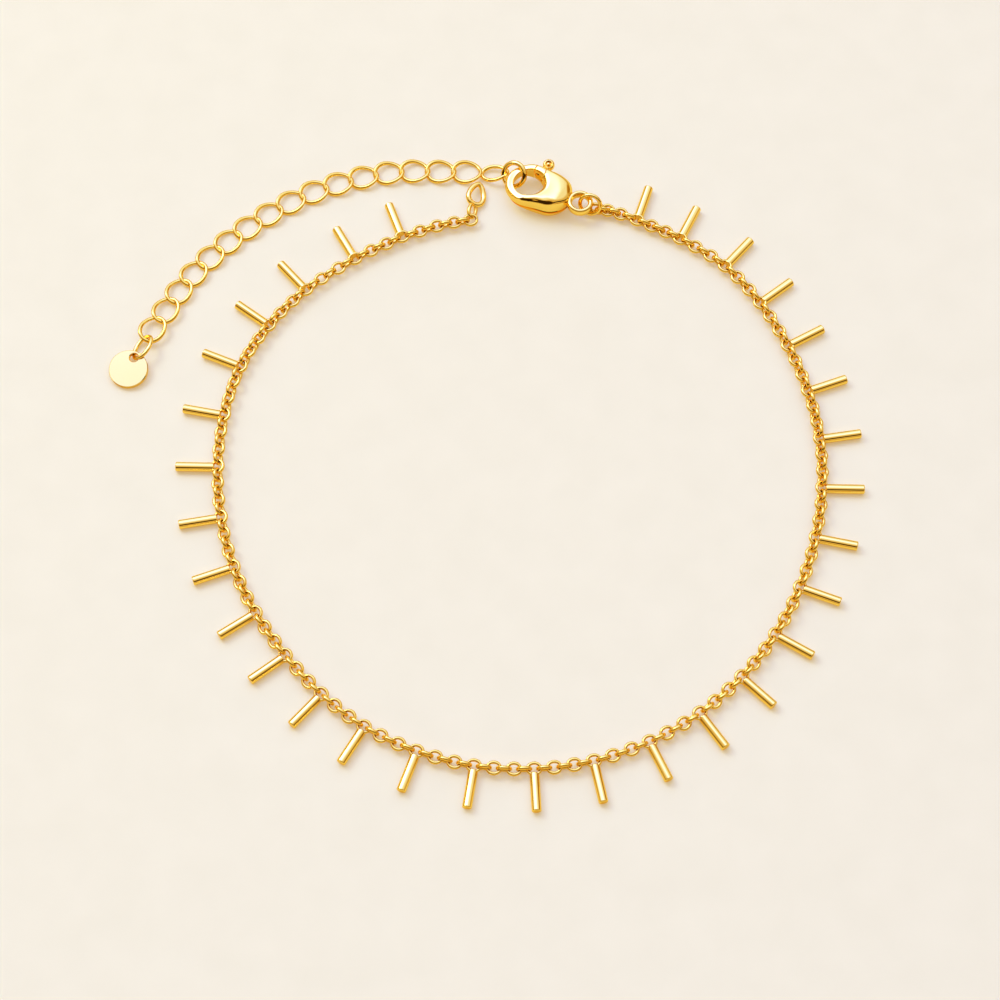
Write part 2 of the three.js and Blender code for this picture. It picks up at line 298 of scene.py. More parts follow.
def wire_link(name, length, width, wire, around, sides, twist=0.0, point=0.0,
              taper=0.0, band=1.0, swell=0.0, square=2.0, shade_at_crossings=0.0):
    """One link or ring of wire, its length along X and its face up, in millimetres."""
    start()
    bpy.ops.mesh.primitive_torus_add(
        major_segments=around, minor_segments=sides,
        major_radius=(length - wire) / 2 * MM, minor_radius=wire / 2 * MM,
    )
    link = named(name)
    link.data.transform(Matrix.Scale(1 / MM, 4))
    squeeze = (length - width) / 2
    centre_line = (length - wire) / 2
    # Painted shade: how dark each point is painted, inside the link's ends, where the next link
    # crosses.
    crossing_shade = link.data.attributes.new("crossing_shade", "FLOAT", "POINT")
    for vertex, value in zip(link.data.vertices, crossing_shade.data):
        from_middle = math.hypot(vertex.co.x, vertex.co.y)
        inwards = (centre_line - from_middle) / (wire / 2)
        at_an_end = smooth_share(abs(vertex.co.x) / from_middle, 0.6, 0.95)
        value.value = shade_at_crossings * at_an_end * smooth_share(inwards, -0.1, 0.8)

    def rule(x, y, z):
        around_ring = math.hypot(x, y)
        sideways, along = y / around_ring, x / around_ring
        out = rounded((around_ring - centre_line) / (wire / 2), square)
        z = rounded(z / (wire / 2), square) * wire / 2
        reach = centre_line + out * wire / 2 * (1 + swell * sideways * sideways)
        x, y = reach * along, reach * sideways
        y -= sideways * (squeeze * (1 + point * along * along) + taper * along)
        return x, y, z * band - twist * (x / (length / 2)) * y

    reshape(link, rule)
    smooth(link, WIRE_SMOOTHING)
    return link


# %% [markdown]
# ## The belcher chain
# Every link of a belcher, or rolo, chain is alike, and each one is turned a quarter turn
# from the last. Where the chain lies on a table it also rolls a little, so one link shows
# its face and the next its edge. The drops sit on every sixth link, so each bar's box in
# the frame says where its link is, and a smooth curve through those gives the line.
# The links' wire is taller than it is wide, with softly squared corners, and is thickest
# at their sides. A link has few faces, because there are about 190 of them.

# %% The chain's line
# Which way each bar points, in degrees from +X, clockwise round the loop from the clasp.
BAR_HEADINGS = [
    72, 64, 49, 38, 29, 20, 9, -1, -12, -21, -31,
    -44, -55, -65, -78, -87, -99, -110, -121, -132, -143,
    -146, -160, -170, -181, -191, -203, -217, -229, -241, -250,
]
BAR_RADIUS = 0.475
# How far from its link's middle the solid bar starts and ends, and the dressed one starts.
BAR_FROM, BAR_TO = 0.45, 4.25
DROP_FROM = 0.38
LINKS_PER_BAR = 6


def bar_node(index):
    return f"bar_{index + 1:02d}"


def heading_vector(degrees):
    return Vector((math.cos(math.radians(degrees)), math.sin(math.radians(degrees)), 0))


def bar_link_centre(index):
    """Where the link that carries this bar is, in millimetres."""
    low, high = (Vector(corner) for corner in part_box(bar_node(index)))
    middle = (low + high) / 2 / MM
    middle.z = 0
    return middle - heading_vector(BAR_HEADINGS[index]) * (BAR_FROM + BAR_TO) / 2


def through(points, index, t):
    """A point on a smooth curve, between points index and index + 1."""
    last = len(points) - 1
    before = points[index - 1] if index > 0 else 2 * points[0] - points[1]
    after = points[index + 2] if index + 2 <= last else 2 * points[last] - points[last - 1]
    a, b = points[index], points[index + 1]
    return 0.5 * (
        2 * a + (b - before) * t
        + (2 * before - 5 * a + 4 * b - after) * t * t
        + (3 * a - before - 3 * b + after) * t ** 3
    )


BAR_COUNT = len(BAR_HEADINGS)
bar_links = [bar_link_centre(index) for index in range(BAR_COUNT)]
# Where the links before the first bar and after the last bar are, as x and y.
START_LINKS = [(12.25, 29.8), (12.85, 29.75), (13.5, 29.55), (14.2, 29.3), (15.05, 28.98)]
END_LINKS = [
    (-7.6, 26.93), (-6.75, 27.25), (-5.85, 27.57), (-4.98, 27.87),
    (-4.1, 28.1), (-3.2, 28.3), (-2.3, 28.45), (-1.45, 28.6),
]
centres = [Vector((x, y, 0)) for x, y in START_LINKS]
for bar in range(BAR_COUNT - 1):
    centres += [through(bar_links, bar, step / LINKS_PER_BAR) for step in range(LINKS_PER_BAR)]
centres.append(bar_links[-1])
centres += [Vector((x, y, 0)) for x, y in END_LINKS]
print("links in the chain", len(centres))

# %% How far each link is rolled
LINK_HEIGHT = 0.69
# The roll of a face-on link, at some of the bars, in degrees away from lying flat.
ROLL_AT_BAR = [(0, -10), (2, -8), (4, 12), (6, 28), (10, 30), (12, 22), (14, 9), (17, 8),
               (20, 22), (22, 30), (26, 28), (27, 12), (29, -8), (30, -10)]


def roll_at(bar):
    """The roll at a bar or between two, in proportion to the listed ones."""
    for (from_bar, from_roll), (to_bar, to_roll) in zip(ROLL_AT_BAR, ROLL_AT_BAR[1:]):
        if bar <= to_bar:
            share = max(0, (bar - from_bar) / (to_bar - from_bar))
            return from_roll + share * (to_roll - from_roll)
    return ROLL_AT_BAR[-1][1]


def link_roll(number):
    """The roll itself, or a quarter turn from it on every other link, or half at a bar."""
    step = (number - len(START_LINKS)) % LINKS_PER_BAR
    roll = roll_at((number - len(START_LINKS)) / LINKS_PER_BAR)
    if step == 0:
        return roll / 2
    return roll - 90 if step % 2 else roll


def link_matrix(number):
    """A link's length runs along the chain, and its face leans out by its roll."""
    ahead = centres[min(number + 1, len(centres) - 1)]
    behind = centres[max(number - 1, 0)]
    along = (ahead - behind).normalized()
    outward = Vector((-along.y, along.x, 0))
    roll = math.radians(link_roll(number))
    normal = math.cos(roll) * Vector((0, 0, 1)) + math.sin(roll) * outward
    across = normal.cross(along)
    turn = Matrix((along, across, normal)).transposed().to_4x4()
    return Matrix.Translation(centres[number] + Vector((0, 0, LINK_HEIGHT))) @ turn


# %% Model one link, copy it along the line, join the copies
# The last entry paints the full shade inside each link's ends, where the next link crosses.
LINK = dict(length=1.6, width=1.42, wire=0.29, band=1.35, swell=0.22, square=2.3, shade_at_crossings=1.0)
link_pattern = wire_link("link_pattern", around=18, sides=8, **LINK)
# The place, heading and roll of the larger link at each end of the chain.
CONNECTORS = [((11.75, 29.95, 0.75), -14, 60), ((-1.3, 29.75, 0.62), 76, 50)]
chain_links = []
for number in range(len(centres)):
    link = copy_of(link_pattern, f"link_{number:03d}")
    put(link, link_matrix(number))
    chain_links.append(link)
discard(link_pattern)
for number, (at, heading, roll) in enumerate(CONNECTORS):
    link = wire_link(
        f"connector_{number}", length=2.0, width=1.4, wire=0.42, around=24, sides=8,
    )
    put(link, placement(at, heading, roll=roll))
    chain_links.append(link)
belcher_chain = join(chain_links, "belcher_chain")
finish_piece(belcher_chain, BRACELET, "chain_gold", chain_gold, "chain")

# %% [markdown]
# ## The drops
# Each drop is a length of round wire, cut square, with its edges just broken by the
# tumbling. A cylinder is bevelled at both rims once, and copied to every bar.

# %% Drops
DROP_BEVEL = 0.11
start()
bpy.ops.mesh.primitive_cylinder_add(
    vertices=40, radius=BAR_RADIUS * MM, depth=(BAR_TO - DROP_FROM) * MM,
    rotation=(0, math.pi / 2, 0),
)
bar_pattern = named("bar_pattern")
bpy.ops.object.transform_apply(location=False, rotation=True, scale=False)
bar_pattern.data.transform(Matrix.Scale(1 / MM, 4))
apply_modifier(bar_pattern, "BEVEL", width=DROP_BEVEL, segments=4, limit_method="ANGLE")
smooth(bar_pattern, angle=50)
apply_modifier(bar_pattern, "WEIGHTED_NORMAL", keep_sharp=True)
for index in range(BAR_COUNT):
    drop = copy_of(bar_pattern, f"drop_{index + 1:02d}")
    middle = bar_links[index] + heading_vector(BAR_HEADINGS[index]) * (DROP_FROM + BAR_TO) / 2
    middle.z = BAR_RADIUS
    put(drop, placement(middle, BAR_HEADINGS[index]))
    finish_piece(drop, BRACELET, "bar_gold", bar_gold, bar_node(index))
discard(bar_pattern)

# %% [markdown]
# ## The extender
# The extender is a row of large oval curb links that lie flat, so that the clasp can hook
# any of them, and one smaller link at its near end. The route's points follow the same
# line as the solid, and rise at the tag's end, where the last link leans on the tag's.

# %% The extender's line
EXTENDER_ROUTE = [Vector(point) * MM for point in (
    (-34.0, 15.7, 0.72), (-30.1, 22.4, 0.36), (-24.7, 27.9, 0.36),
    (-17.9, 32.2, 0.36), (-10.1, 34.5, 0.36), (-1.9, 34.6, 0.36),
)]
LINKS_PER_POINT = 3
# How far along to look, in points, to find which way the line runs.
LOOK_AHEAD = 0.01


def centripetal(points, along):
    """A point on the centripetal curve through the points. Along counts points."""
    last = len(points) - 1
    index = min(int(along), last - 1)
    t = along - index
    a, b = points[index], points[index + 1]
    before = points[index - 1] if index > 0 else 2 * points[0] - points[1]
    after = points[index + 2] if index + 2 <= last else 2 * points[last] - points[last - 1]
    d0, d1, d2 = ((q - p).length ** 0.5 for p, q in ((before, a), (a, b), (b, after)))
    leave = ((a - before) / d0 - (b - before) / (d0 + d1) + (b - a) / d1) * d1
    arrive = ((b - a) / d1 - (after - a) / (d1 + d2) + (after - b) / d2) * d1
    return (
        a + leave * t + (3 * (b - a) - 2 * leave - arrive) * t * t
        + (2 * (a - b) + leave + arrive) * t ** 3
    )


# %% The extender's links
EXTENDER_LINK = dict(length=3.36, width=2.84, wire=0.43, twist=0.32, point=0.15)
curb_pattern = wire_link("curb_pattern", around=40, sides=10, **EXTENDER_LINK)
extender_count = (len(EXTENDER_ROUTE) - 1) * LINKS_PER_POINT
extender_links = []
for number in range(extender_count + 1):
    along = number / LINKS_PER_POINT
    at = centripetal(EXTENDER_ROUTE, along) / MM
    step = LOOK_AHEAD if number < extender_count else -LOOK_AHEAD
    way = (centripetal(EXTENDER_ROUTE, along + step) / MM - at) * (1 if step > 0 else -1)
    way.normalize()
    link = copy_of(curb_pattern, f"curb_{number:02d}")
    heading = math.degrees(math.atan2(way.y, way.x))
    put(link, placement(at, heading, rise=math.degrees(math.asin(way.z))))
    extender_links.append(link)
discard(curb_pattern)
end_link = wire_link(
    "end_link", length=3.24, width=2.24, wire=0.42, around=40, sides=10, twist=0.2, point=0.2,
)
put(end_link, placement((1.04, 34.3, 0.62), heading=-5, rise=15, roll=-8))
extender = join(extender_links + [end_link], "extender_links")
finish_piece(extender, BRACELET, "chain_gold", chain_gold, "extender_chain")

# %% [markdown]
# ## Rings
# Four loose rings hang between the parts: the extender's end ring in the clasp's hook,
# the jump ring through the clasp's eye, the pear-shaped one at the chain's other end,
# which stops just short of the extender, and the tag's own link. They are plain round
# wire. The two at the clasp are tipped up steeply, because the parts that they hang in
# are thicker than the chain.

# %% Rings
def ring(name, node, place, **size):
    piece = wire_link(name, around=48, sides=14, **size)
    put(piece, place)
    finish_piece(piece, BRACELET, "finding_gold", finding_gold, node)


ring("hook_ring", "end_ring", placement((3.07, 33.6, 1.52), heading=-132, lean=43),
     length=2.98, width=2.98, wire=0.52)
ring("eye_ring", "clasp_jump_ring", placement((11.0, 30.05, 1.4), heading=-106, lean=60),
     length=2.6, width=2.6, wire=0.42)
ring("pear_ring", "chain_jump_ring", placement((-0.85, 31.75, 0.6), heading=78, roll=25),
     length=3.0, width=2.2, wire=0.58, taper=0.25)
ring("tag_ring", "tag_link", placement((-34.9, 13.5, 0.83), heading=64, rise=3, roll=-36),
     length=3.14, width=2.3, wire=0.42)

# %% [markdown]
# ## The tag
# A small round blank, stamped from sheet, with a hole for its link. A narrow flat chamfer
# breaks the stamped edge, and draws a thin line round the face, which is the flattest
# mirror on the bracelet. The tag is tilted, because it leans on its link.

# %% Tag
TAG_RADIUS, TAG_THICK, HOLE_RADIUS, HOLE_AT = 2.0, 0.52, 0.475, 1.3
TAG_X, TAG_Y, TAG_HEADING, TAG_TILT = -36.22, 11.17, 65, 8
TAG_CHAMFER = 0.17
start()
bpy.ops.mesh.primitive_cylinder_add(
    vertices=96, radius=TAG_RADIUS * MM, depth=TAG_THICK * MM,
    location=(0, 0, TAG_THICK / 2 * MM),
)
tag = named("round_tag")
bpy.ops.object.transform_apply()
tag.data.transform(Matrix.Scale(1 / MM, 4))
start()
bpy.ops.mesh.primitive_cylinder_add(
    vertices=48, radius=HOLE_RADIUS * MM, depth=4 * TAG_THICK * MM,
    location=(HOLE_AT * MM, 0, 0),
)
drill = named("drill")
bpy.ops.object.transform_apply()
drill.data.transform(Matrix.Scale(1 / MM, 4))
boolean(tag, drill, "DIFFERENCE")
discard(drill)
apply_modifier(tag, "BEVEL", width=TAG_CHAMFER, segments=1, limit_method="ANGLE")
smooth(tag, angle=30)
apply_modifier(tag, "WEIGHTED_NORMAL", keep_sharp=True)
tag_lift = TAG_RADIUS * math.sin(math.radians(TAG_TILT))
put(tag, placement((TAG_X, TAG_Y, tag_lift), TAG_HEADING, rise=TAG_TILT))
finish_piece(tag, BRACELET, "tag_gold", tag_gold, "tag_disc")

# %% [markdown]
# ## The lobster clasp
# The claw and its body are one casting round a nearly round hollow, so the form is a ring
# whose section changes: slim at the nose, thick and domed at the tail. A torus gives the
# right mesh. Each of its sections is reshaped to run from the hollow to the outline, with
# a squarer curve at the hollow and a rounder one outside. The sides lean in towards the
# top, and on the side away from the lever a chamfer runs along the shoulder, where it
# mirrors another part of the room than the faces beside it.

# %% The clasp's blank
CLASP_PLACE = placement((4.6, 32.4, 1.5), heading=-18)
TORUS_RADIUS, TORUS_WIRE = 2.0, 0.5
# The hollow's radius, and how far the outline is from its middle on each side.
HOLLOW = 1.55
NOSE, LEVER_SIDE, FAR_SIDE = 2.55, 2.25, 2.5
# The tail is a half ellipse: where it starts, and how long it is.
TAIL_AT, TAIL = 2.4, 2.35
# Half the height at the nose and at the body, and between which places it grows.
NOSE_HEIGHT, BODY_HEIGHT = 0.55, 1.5
LOW_UNTIL, HIGH_FROM = -2.4, 2.0
# What share of that height lies above the middle, and what share below it.
TOP_SHARE, FLAT_SHARE = 0.78, 0.88
# Where the section is highest, as a share of the way from the hollow to the outline.
CROWN_SHARE = 0.45
# How square the section is: at the nose, how much less at the body, how much more on the
# far side, underneath, and at the hollow.
NOSE_SQUARE, BODY_LESS, FAR_MORE, FLAT_SQUARE, HOLLOW_SQUARE = 3.4, 1.1, 1.6, 4.0, 6
# How far the top leans in at the nose, along the far side, and more towards the tail.
NOSE_LEAN, FAR_LEAN, TAIL_LEAN = 0.2, 0.05, 0.5
# How deep the chamfer is, how much deeper at the tail, where it ends, and its slope.
CHAMFER, CHAMFER_MORE, CHAMFER_END = 0.2, 0.6, 3.3
CHAMFER_ANGLE = math.radians(55)
# Cuts below the first are left out. The second keeps the slope from standing upright.
LEAST_CUT, LEAST_FACING = 0.01, 0.3
# How much slimmer the lever's side is, and how far the hollow's wall is shifted.
SLIMMER, HOLLOW_SHIFT = 0.25, 0.15
# How much the tail bends away for each millimetre, and over what length.
BEND, BEND_LENGTH = 0.03, 6


def outline(turn):
    """How far the outline is from the hollow's middle, in this direction."""
    c, s = math.cos(turn), math.sin(turn)
    wide = LEVER_SIDE if s > 0 else FAR_SIDE
    if c <= 0:
        return 1 / math.hypot(c / NOSE, s / wide)
    if abs(s) > 1e-9 and wide / abs(s) * c <= TAIL_AT:
        return wide / abs(s)
    a = (c / TAIL) ** 2 + (s / wide) ** 2
    b = TAIL_AT * c / TAIL ** 2
    return (b + math.sqrt(b * b - a * ((TAIL_AT / TAIL) ** 2 - 1))) / a


def half_height(x):
    """Half the clasp's height, low at the nose and high at the body."""
    return NOSE_HEIGHT + (BODY_HEIGHT - NOSE_HEIGHT) * smooth_share(x, LOW_UNTIL, HIGH_FROM)


def clasp_section(x, y, z, inset):
    """Crowned near the hollow, leaning in to its top, and slimmer on the lever's side."""
    turn = math.atan2(y, x)
    out = (math.hypot(x, y) - TORUS_RADIUS) / TORUS_WIRE
    up = z / TORUS_WIRE
    outer = outline(turn) - inset
    crown = HOLLOW + (outer - HOLLOW) * CROWN_SHARE
    along = (TORUS_RADIUS + out) * math.cos(turn)
    far = smooth_share(-math.sin(turn), 0.1, 0.6)
    nose = smooth_share(-math.cos(turn), 0, 0.7)
    square = NOSE_SQUARE - BODY_LESS * smooth_share(along, -1.5, 1.5) + FAR_MORE * far
    if up < 0:
        square = FLAT_SQUARE
    share = rounded(out, square if out > 0 else HOLLOW_SQUARE)
    top = half_height(along) * TOP_SHARE
    height = rounded(up, square) * (top if up > 0 else half_height(along) * FLAT_SHARE)
    reach = crown + (outer - crown if out > 0 else crown - HOLLOW) * share
    if out > 0:
        lean = max(FAR_LEAN * far, NOSE_LEAN * nose)
        lean += TAIL_LEAN * far * smooth_share(along, 0.3, 3.2)
        reach -= lean * share * (1 + rounded(up, square)) / 2
        cut = CHAMFER * (1 + CHAMFER_MORE * smooth_share(along, 0.2, 1.6))
        facing = max(LEAST_FACING, -math.sin(turn)) if along > 0 else 1
        slope = math.atan2(math.tan(CHAMFER_ANGLE), facing)
        cut *= far * smooth_share(along, -0.8, 0.2) * smooth_share(CHAMFER_END - along, 0, 0.5)
        beyond = (
            (reach - outer + lean) * math.cos(slope) + (height - top) * math.sin(slope) + cut
        )
        if cut > LEAST_CUT and beyond > 0:
            reach -= beyond * math.cos(slope)
            height -= beyond * math.sin(slope)
    x, y = reach * math.cos(turn), reach * math.sin(turn)
    if y > 0:
        y -= SLIMMER * smooth_share(x, 0.6, 2.2) * smooth_share(y, 1.2, 2.3)
    bend = BEND * smooth_share(x, 0, BEND_LENGTH) * BEND_LENGTH
    y -= HOLLOW_SHIFT * (1 - share) / 2 + bend
    return x, y, height


def clasp_blank(name, inset=0.0):
    start()
    bpy.ops.mesh.primitive_torus_add(
        major_segments=144, minor_segments=56,
        major_radius=TORUS_RADIUS * MM, minor_radius=TORUS_WIRE * MM,
    )
    blank = named(name)
    blank.data.transform(Matrix.Scale(1 / MM, 4))
    reshape(blank, lambda x, y, z: clasp_section(x, y, z, inset))
    return blank


# %% [markdown]
# ## The gap in the claw
# The lever's gate fills a gap in the claw. Its free end meets the claw's tip on an arc
# round the rivet, so that it can swing in, and its root stands in front of the body's
# shoulder. The same cutter, a little larger or smaller, makes the gap and the gate.

# %% The gap for the lever
PIVOT = Vector((2.3, 1.2, 0))
SEAM = Vector((0.28, 1.86, 0))
SHOULDER, FOOT = 1.45, 0.74
SEAM_RADIUS = (PIVOT - SEAM).length
# Cutters reach past the clasp: through its thickness, left of its gate, and all round.
THROUGH, GATE_LEFT, OUTSIDE = 6, -3, 4
CLASP_SMOOTHING = 35


def box_from(name, low, high):
    start()
    bpy.ops.mesh.primitive_cube_add(size=MM)
    box = named(name)
    box.data.transform(Matrix.Scale(1 / MM, 4))
    size = [b - a for a, b in zip(low, high)]
    middle = [(a + b) / 2 for a, b in zip(low, high)]
    box.data.transform(Matrix.Translation(middle) @ Matrix.Diagonal((*size, 1)))
    return box


def rod(name, at, radius, depth, vertices=96):
    start()
    bpy.ops.mesh.primitive_cylinder_add(vertices=vertices, radius=radius * MM, depth=depth * MM)
    piece = named(name)
    piece.data.transform(Matrix.Translation(at) @ Matrix.Scale(1 / MM, 4))
    return piece


def gate_cutter(shoulder, foot, seam_radius):
    cutter = rod("gate_cutter", PIVOT, seam_radius, THROUGH)
    region = box_from(
        "gate_region", (GATE_LEFT, foot, -OUTSIDE), (shoulder, OUTSIDE, OUTSIDE),
    )
    boolean(cutter, region, "INTERSECT")
    discard(region)
    return cutter


# %% Clasp body
SEAM_GAP, FOOT_GAP = 0.12, 0.1
SLOT = (0.9, 0.3, -0.5), (2.9, 1.85, 0.6)
# The parting line is a shallow groove round the outside, below the middle.
PARTING = (-3.2, -3.4, -0.55), (5.6, 3.4, -0.24)
PARTING_DEPTH, PLUG_RADIUS = 0.15, 2.0
clasp = clasp_blank("clasp_casting")
cutter = gate_cutter(SHOULDER, FOOT, SEAM_RADIUS + SEAM_GAP / 2)
boolean(clasp, cutter, "DIFFERENCE")
discard(cutter)
slot_cutter = box_from("slot_cutter", *SLOT)
boolean(clasp, slot_cutter, "DIFFERENCE")
discard(slot_cutter)
parting = box_from("parting", *PARTING)
for core in (clasp_blank("core", PARTING_DEPTH), rod("plug", (0, 0, 0), PLUG_RADIUS, THROUGH)):
    boolean(parting, core, "DIFFERENCE")
    discard(core)
boolean(clasp, parting, "DIFFERENCE")
discard(parting)
smooth(clasp, CLASP_SMOOTHING)

# %% Clasp eye
EYE_AT = Vector((5.78, -0.5, 0))
EYE_RADIUS, EYE_WALL, EYE_HEIGHT = 1.1, 0.56, 1.0
EYE_SQUARE, EYE_OVERLAP = 2.3, 0.03


def eye_section(x, y, z):
    turn = math.atan2(y, x)
    out = (math.hypot(x, y) - EYE_RADIUS) / (EYE_WALL / 2)
    up = z / (EYE_WALL / 2)
    reach = EYE_RADIUS + EYE_WALL / 2 * rounded(out, EYE_SQUARE)
    height = EYE_HEIGHT / 2 * rounded(up, EYE_SQUARE)
    return reach * math.cos(turn), reach * math.sin(turn), height


start()
bpy.ops.mesh.primitive_torus_add(
    major_segments=56, minor_segments=20,
    major_radius=EYE_RADIUS * MM, minor_radius=EYE_WALL / 2 * MM,
)
eye = named("clasp_eye")
eye.data.transform(Matrix.Scale(1 / MM, 4))
reshape(eye, eye_section)
eye.data.transform(Matrix.Translation(EYE_AT))
eye_hole = rod("eye_hole", EYE_AT, EYE_RADIUS - EYE_WALL / 2 + EYE_OVERLAP, THROUGH)
boolean(clasp, eye_hole, "DIFFERENCE")
discard(eye_hole)
boolean(clasp, eye, "UNION")
discard(eye)
smooth(clasp, CLASP_SMOOTHING)
put(clasp, CLASP_PLACE)
finish_piece(clasp, BRACELET, "finding_gold", finding_gold, "clasp_body")

# %% [markdown]
# ## The lever
# The gate is cut from the same blank, so it carries the claw's curve on, but it is a
# little lower. It is scooped out at the hollow, and its foot is trimmed to the height of
# the body's slot, so that it can swing in. A thumb knob stands on its root on a short
# neck, its top cupped round a bead, and a tongue runs back into the slot to the rivet.

# %% Lever
KNOB_AT, KNOB_RADIUS, KNOB_TILT = Vector((1.3, 2.84, 0.1)), 0.62, math.radians(12)
KNOB_FLATNESS, KNOB_SQUARE, CUP_DEPTH = 0.7, 3, 0.42
# The cup's edge and the bead's edge, as shares of the radius, and how wide each slope is.
CUP_EDGE, CUP_SLOPE, BEAD_EDGE, BEAD_SLOPE = 0.66, 0.14, 0.36, 0.2
NECK_AT, NECK_RADIUS, NECK_HEIGHT = (1.12, 2.25, -0.15), 0.3, 0.7
TONGUE = (1.25, 1.35, -0.4), (2.3, 1.7, 0.4)
SCOOP_TURN, SCOOP_SIZE, SCOOP_RISE = math.radians(58), (0.55, 0.66, 0.48), 0.05
GATE_THICKNESS = 0.94
# The foot's box in plan, and the heights that are kept of it.
FOOT_START, FOOT_END = 0.5, 1.0
FOOT_RIGHT, FOOT_LOW, FOOT_HIGH = 1.6, -0.45, 0.52


def knob_shape(x, y, z):
    """A flattened ball, its top cupped round a small centre bead."""
    from_axis = math.hypot(x, y)
    height = KNOB_FLATNESS * rounded(z, KNOB_SQUARE)
    if z > 0:
        height -= CUP_DEPTH * smooth_share(CUP_EDGE - from_axis, 0, CUP_SLOPE)
        height += CUP_DEPTH * smooth_share(BEAD_EDGE - from_axis, 0, BEAD_SLOPE)
    return x * KNOB_RADIUS, y * KNOB_RADIUS, height * KNOB_RADIUS


lever = clasp_blank("clasp_gate")
cutter = gate_cutter(SHOULDER - SEAM_GAP, FOOT + FOOT_GAP, SEAM_RADIUS - SEAM_GAP / 2)
boolean(lever, cutter, "INTERSECT")
discard(cutter)
start()
bpy.ops.mesh.primitive_uv_sphere_add(segments=32, ring_count=20, radius=MM)
scoop = named("scoop")
scoop.data.transform(Matrix.Diagonal((*SCOOP_SIZE, 1)) @ Matrix.Scale(1 / MM, 4))
turn = Matrix.Rotation(SCOOP_TURN, 4, "Z")
scoop.data.transform(turn @ Matrix.Translation((HOLLOW, 0, SCOOP_RISE)))
boolean(lever, scoop, "DIFFERENCE")
discard(scoop)
for low, high in ((FOOT_HIGH, OUTSIDE), (-OUTSIDE, FOOT_LOW)):
    foot_trim = box_from(
        "foot_trim", (GATE_LEFT, FOOT_START, low), (FOOT_RIGHT, FOOT_END, high),
    )
    boolean(lever, foot_trim, "DIFFERENCE")
    discard(foot_trim)
lever.data.transform(Matrix.Diagonal((1, 1, GATE_THICKNESS, 1)))
start()
bpy.ops.mesh.primitive_uv_sphere_add(segments=48, ring_count=32, radius=MM)
knob = named("knob")
knob.data.transform(Matrix.Scale(1 / MM, 4))
reshape(knob, knob_shape)
knob.data.transform(Matrix.Translation(KNOB_AT) @ Matrix.Rotation(KNOB_TILT, 4, "X"))
boolean(lever, knob, "UNION")
discard(knob)
neck = rod("neck", NECK_AT, NECK_RADIUS, NECK_HEIGHT, vertices=32)
boolean(lever, neck, "UNION")
discard(neck)
tongue = box_from("tongue", *TONGUE)
boolean(lever, tongue, "UNION")
discard(tongue)
smooth(lever, CLASP_SMOOTHING)
put(lever, CLASP_PLACE)
finish_piece(lever, LEVER, "finding_gold", finding_gold, "clasp_lever")

# %% [markdown]
# ## Table and light
# The table is a plain cream plaster board with a very faint unevenness. It glows a little
# too, for the light that a real white room would throw back. The light is one soft window
# at the upper left and a room with a bright far wall, brighter on the left, a bright
# patch at each upper side and one overhead. Polished metal only looks like metal with
# something dark to mirror, so the room also has three dark parts: a gap towards the
# viewer, a doorway on the right and a skirting low down all round. The room's colour
# follows its strength. Its dim parts are amber and its bright parts are bluish, so the
# gold's darks stay warm and its highlights come out nearly white.

# %% Table
PLASTER_LOW, PLASTER_HIGH = (0.635, 0.602, 0.246, 1), (0.66, 0.624, 0.257, 1)
PLASTER_GLOW, GLOW_STRENGTH = (1.0, 0.74, 0.46, 1), 0.32
# The board is this far under the bracelet, in metres, so that no two faces coincide.
TABLE_SIZE, TABLE_DROP = 0.9, 0.00001


def plaster():
    material = bpy.data.materials.new("plaster")
    material.use_nodes = True
    nodes, links = material.node_tree.nodes, material.node_tree.links
    shader = nodes["Principled BSDF"]
    shader.inputs["Roughness"].default_value = 0.9
    shader.inputs["Specular IOR Level"].default_value = 0.2
    shader.inputs["Emission Color"].default_value = PLASTER_GLOW
    shader.inputs["Emission Strength"].default_value = GLOW_STRENGTH
    place = nodes.new("ShaderNodeTexCoord")
    noise = nodes.new("ShaderNodeTexNoise")
    noise.inputs["Scale"].default_value = 220
    noise.inputs["Detail"].default_value = 6
    links.new(place.outputs["Object"], noise.inputs["Vector"])
    ramp = nodes.new("ShaderNodeValToRGB")
    ramp.color_ramp.elements[0].position = 0.3
    ramp.color_ramp.elements[0].color = PLASTER_LOW
    ramp.color_ramp.elements[1].position = 0.7
    ramp.color_ramp.elements[1].color = PLASTER_HIGH
    links.new(noise.outputs["Fac"], ramp.inputs["Fac"])
    links.new(ramp.outputs["Color"], shader.inputs["Base Color"])
    bump = nodes.new("ShaderNodeBump")
    bump.inputs["Strength"].default_value = 0.2
    bump.inputs["Distance"].default_value = 0.0002
    links.new(noise.outputs["Fac"], bump.inputs["Height"])
    links.new(bump.outputs["Normal"], shader.inputs["Normal"])
    return material


start()
bpy.ops.mesh.primitive_plane_add(size=TABLE_SIZE, location=(0, 0, -TABLE_DROP))
table = named("table")
bpy.ops.object.transform_apply()
table.data.materials.append(plaster())
print("table", TABLE_SIZE, "m across")

# %% Room light
ROOM_STRENGTH, EVEN_LIGHT = 4.64, 0.6
# The colour of the room's light at each level of its strength.
TINT_RANGE = 3
TINTS = (
    (0.201, (0.453, 0.216, 0.034)), (0.375, (0.341, 0.216, 0.058)),
    (0.54, (0.276, 0.216, 0.14)), (0.74, (0.238, 0.216, 0.297)),
    (0.9, (0.213, 0.216, 0.39)), (1.14, (0.181, 0.216, 0.53)),
    (1.5, (0.156, 0.216, 0.75)), (1.9, (0.15, 0.216, 1.0)), (TINT_RANGE, (0.15, 0.216, 1.0)),
)
WINDOW_AT, WINDOW_SIZE, WINDOW_ENERGY = (-0.3, 0.22, 0.38), 0.16, 0.75


